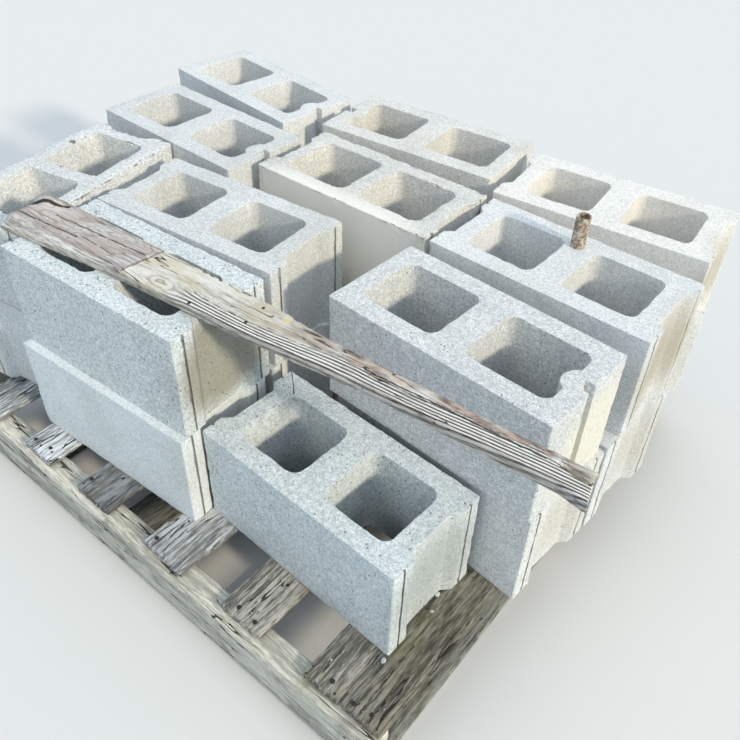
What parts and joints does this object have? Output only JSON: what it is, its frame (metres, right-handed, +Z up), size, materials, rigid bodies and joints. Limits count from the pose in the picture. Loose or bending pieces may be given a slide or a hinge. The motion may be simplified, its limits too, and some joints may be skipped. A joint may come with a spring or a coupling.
{
  "type": "pallet of concrete blocks",
  "caption": "Stringer pallet with layers of hollow two-core concrete blocks, loosely stacked, with a loose plank and a pipe stub on top.",
  "frame": {"origin": "middle of the pallet's underside, on the middle bottom board", "axes": "+X along the stringers and the blocks' length, +Y along the deck boards towards the back row, +Z up"},
  "size_m": [1.3554, 1.016, 0.563],
  "materials": {
    "concrete": "rough cast, fine grained",
    "stringer_wood": "weathered grey, algae stained",
    "deck_wood": "weathered grey, deep open grain",
    "plank_wood": "weathered, raised grain",
    "rusty_steel": "rusted and pitted"
  },
  "bodies": {
    "root": {"bottom_block_crossways": "concrete", "bottom_block_row1_middle": "concrete", "bottom_block_row1_right": "concrete", "bottom_block_row2_middle": "concrete", "bottom_block_row2_right": "concrete", "bottom_block_row3_left": "concrete", "bottom_block_row3_middle": "concrete", "bottom_block_row3_right": "concrete", "bottom_block_row4_left": "concrete", "bottom_block_row4_middle": "concrete", "bottom_block_row4_right": "concrete", "top_block_crossways": "concrete", "top_block_row1_middle": "concrete", "top_block_row2_middle": "concrete", "top_block_row2_right": "concrete", "top_block_row3_left": "concrete", "top_block_row3_middle": "concrete", "top_block_row3_right": "concrete", "top_block_row4_left": "concrete", "top_block_row4_middle": "concrete", "top_block_row4_right": "concrete", "stringer_front": "stringer_wood", "stringer_middle": "stringer_wood", "stringer_back": "stringer_wood", "deck_board_1": "deck_wood", "deck_board_2": "deck_wood", "deck_board_3": "deck_wood", "deck_board_4": "deck_wood", "deck_board_5": "deck_wood", "deck_board_6": "deck_wood", "deck_board_7": "deck_wood", "deck_board_8": "deck_wood", "bottom_board_1": "deck_wood", "bottom_board_2": "deck_wood", "bottom_board_3": "deck_wood", "bottom_board_4": "deck_wood", "bottom_board_5": "deck_wood", "loose_plank": "plank_wood", "pipe_stub": "rusty_steel"}
  },
  "joints": []
}
